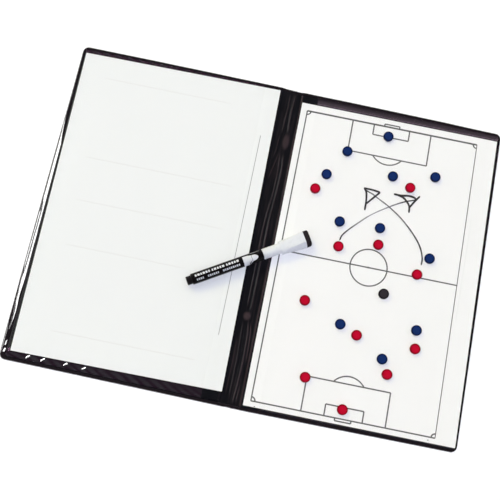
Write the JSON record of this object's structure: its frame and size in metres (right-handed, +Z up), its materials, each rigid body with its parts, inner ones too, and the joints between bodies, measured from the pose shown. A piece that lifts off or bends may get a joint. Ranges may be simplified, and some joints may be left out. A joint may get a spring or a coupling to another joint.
{
  "type": "tactics folder",
  "caption": "Hinged folder lying open, with clear pockets for a writing board and a pitch board, magnetic counters and a dry-wipe marker with an eraser cap.",
  "frame": {"origin": "middle of the spine, on the surface that the open folder lies on", "axes": "+X towards the pitch side, +Y towards the top of the boards, +Z up"},
  "size_m": [0.431, 0.32, 0.0155],
  "materials": {
    "black_pvc": "soft, glossy, faintly rippled",
    "clear_film": "clear, glossy",
    "greyboard": "matt",
    "steel": "plain sheet",
    "white_board": "satin",
    "print_ink": "printed lines",
    "marker_ink": "dry-wipe ink",
    "counter_blue": "satin",
    "counter_red": "satin",
    "counter_black": "satin",
    "marker_black": "glossy",
    "marker_white": "glossy",
    "ink_fibre": "ink-soaked fibre",
    "eraser_felt": "felt"
  },
  "bodies": {
    "spine": {"spine_outer_skin": "black_pvc", "spine_inner_skin": "black_pvc"},
    "left_cover": {"left_outer_skin": "black_pvc", "left_stiffener": "greyboard", "left_inner_skin": "black_pvc", "left_pocket_film": "clear_film"},
    "right_cover": {"right_outer_skin": "black_pvc", "right_stiffener": "greyboard", "right_steel_sheet": "steel", "right_inner_skin": "black_pvc", "right_pocket_film": "clear_film"},
    "writing_board": {"left_writing_board": "white_board"},
    "pitch_board": {"right_pitch_board": "white_board"},
    "marker": {"marker_barrel": "marker_black", "marker_end_plug": "marker_black", "marker_ink_reservoir": "ink_fibre", "marker_nib_section": "marker_black", "marker_nib": "ink_fibre"},
    "marker_cap_unit": {"marker_cap": "marker_white", "marker_eraser_holder": "marker_white", "marker_eraser_felt": "eraser_felt"},
    "counter_blue_01_disc": {"counter_blue_01": "counter_blue"},
    "counter_blue_02_disc": {"counter_blue_02": "counter_blue"},
    "counter_blue_03_disc": {"counter_blue_03": "counter_blue"},
    "counter_blue_04_disc": {"counter_blue_04": "counter_blue"},
    "counter_blue_05_disc": {"counter_blue_05": "counter_blue"},
    "counter_blue_06_disc": {"counter_blue_06": "counter_blue"},
    "counter_blue_07_disc": {"counter_blue_07": "counter_blue"},
    "counter_blue_08_disc": {"counter_blue_08": "counter_blue"},
    "counter_blue_09_disc": {"counter_blue_09": "counter_blue"},
    "counter_blue_10_disc": {"counter_blue_10": "counter_blue"},
    "counter_blue_11_disc": {"counter_blue_11": "counter_blue"},
    "counter_red_01_disc": {"counter_red_01": "counter_red"},
    "counter_red_02_disc": {"counter_red_02": "counter_red"},
    "counter_red_03_disc": {"counter_red_03": "counter_red"},
    "counter_red_04_disc": {"counter_red_04": "counter_red"},
    "counter_red_05_disc": {"counter_red_05": "counter_red"},
    "counter_red_06_disc": {"counter_red_06": "counter_red"},
    "counter_red_07_disc": {"counter_red_07": "counter_red"},
    "counter_red_08_disc": {"counter_red_08": "counter_red"},
    "counter_red_09_disc": {"counter_red_09": "counter_red"},
    "counter_red_10_disc": {"counter_red_10": "counter_red"},
    "counter_red_11_disc": {"counter_red_11": "counter_red"},
    "counter_black_01_disc": {"counter_black_01": "counter_black"}
  },
  "joints": [
    {"name": "left_cover_fold", "type": "hinge", "parent": "spine", "child": "left_cover", "pos_m": [-0.008, 0, 0.00025], "axis": [0, -1, 0], "range_deg": [-90, 0]},
    {"name": "right_cover_fold", "type": "hinge", "parent": "spine", "child": "right_cover", "pos_m": [0.008, 0, 0.00025], "axis": [0, 1, 0], "range_deg": [-90, 0]},
    {"name": "writing_board_slide", "type": "slide", "parent": "left_cover", "child": "writing_board", "axis": [1, 0, 0], "range_m": [0, 0.01]},
    {"name": "pitch_board_slide", "type": "slide", "parent": "right_cover", "child": "pitch_board", "axis": [-1, 0, 0], "range_m": [0, 0.01]},
    {"name": "marker_lift", "type": "slide", "parent": "spine", "child": "marker", "axis": [0, 0, 1], "range_m": [0, 0.268]},
    {"name": "marker_cap_pull", "type": "slide", "parent": "marker", "child": "marker_cap_unit", "axis": [0.8531, 0.5218, 0], "range_m": [0, 0.026]},
    {"name": "counter_blue_01_lift", "type": "slide", "parent": "right_cover", "child": "counter_blue_01_disc", "axis": [0, 0, 1], "range_m": [0, 0.03]},
    {"name": "counter_blue_02_lift", "type": "slide", "parent": "right_cover", "child": "counter_blue_02_disc", "axis": [0, 0, 1], "range_m": [0, 0.03]},
    {"name": "counter_blue_03_lift", "type": "slide", "parent": "right_cover", "child": "counter_blue_03_disc", "axis": [0, 0, 1], "range_m": [0, 0.03]},
    {"name": "counter_blue_04_lift", "type": "slide", "parent": "right_cover", "child": "counter_blue_04_disc", "axis": [0, 0, 1], "range_m": [0, 0.03]},
    {"name": "counter_blue_05_lift", "type": "slide", "parent": "right_cover", "child": "counter_blue_05_disc", "axis": [0, 0, 1], "range_m": [0, 0.03]},
    {"name": "counter_blue_06_lift", "type": "slide", "parent": "right_cover", "child": "counter_blue_06_disc", "axis": [0, 0, 1], "range_m": [0, 0.03]},
    {"name": "counter_blue_07_lift", "type": "slide", "parent": "right_cover", "child": "counter_blue_07_disc", "axis": [0, 0, 1], "range_m": [0, 0.03]},
    {"name": "counter_blue_08_lift", "type": "slide", "parent": "right_cover", "child": "counter_blue_08_disc", "axis": [0, 0, 1], "range_m": [0, 0.03]},
    {"name": "counter_blue_09_lift", "type": "slide", "parent": "right_cover", "child": "counter_blue_09_disc", "axis": [0, 0, 1], "range_m": [0, 0.03]},
    {"name": "counter_blue_10_lift", "type": "slide", "parent": "right_cover", "child": "counter_blue_10_disc", "axis": [0, 0, 1], "range_m": [0, 0.03]},
    {"name": "counter_blue_11_lift", "type": "slide", "parent": "right_cover", "child": "counter_blue_11_disc", "axis": [0, 0, 1], "range_m": [0, 0.03]},
    {"name": "counter_red_01_lift", "type": "slide", "parent": "right_cover", "child": "counter_red_01_disc", "axis": [0, 0, 1], "range_m": [0, 0.03]},
    {"name": "counter_red_02_lift", "type": "slide", "parent": "right_cover", "child": "counter_red_02_disc", "axis": [0, 0, 1], "range_m": [0, 0.03]},
    {"name": "counter_red_03_lift", "type": "slide", "parent": "right_cover", "child": "counter_red_03_disc", "axis": [0, 0, 1], "range_m": [0, 0.03]},
    {"name": "counter_red_04_lift", "type": "slide", "parent": "right_cover", "child": "counter_red_04_disc", "axis": [0, 0, 1], "range_m": [0, 0.03]},
    {"name": "counter_red_05_lift", "type": "slide", "parent": "right_cover", "child": "counter_red_05_disc", "axis": [0, 0, 1], "range_m": [0, 0.03]},
    {"name": "counter_red_06_lift", "type": "slide", "parent": "right_cover", "child": "counter_red_06_disc", "axis": [0, 0, 1], "range_m": [0, 0.03]},
    {"name": "counter_red_07_lift", "type": "slide", "parent": "right_cover", "child": "counter_red_07_disc", "axis": [0, 0, 1], "range_m": [0, 0.03]},
    {"name": "counter_red_08_lift", "type": "slide", "parent": "right_cover", "child": "counter_red_08_disc", "axis": [0, 0, 1], "range_m": [0, 0.03]},
    {"name": "counter_red_09_lift", "type": "slide", "parent": "right_cover", "child": "counter_red_09_disc", "axis": [0, 0, 1], "range_m": [0, 0.03]},
    {"name": "counter_red_10_lift", "type": "slide", "parent": "right_cover", "child": "counter_red_10_disc", "axis": [0, 0, 1], "range_m": [0, 0.03]},
    {"name": "counter_red_11_lift", "type": "slide", "parent": "right_cover", "child": "counter_red_11_disc", "axis": [0, 0, 1], "range_m": [0, 0.03]},
    {"name": "counter_black_01_lift", "type": "slide", "parent": "right_cover", "child": "counter_black_01_disc", "axis": [0, 0, 1], "range_m": [0, 0.03]}
  ],
  "couplings": [
    {"joint": "right_cover_fold", "follows": "left_cover_fold", "ratio": 1},
    {"joint": "marker_lift", "follows": "left_cover_fold", "m_per_rad": -0.17}
  ]
}
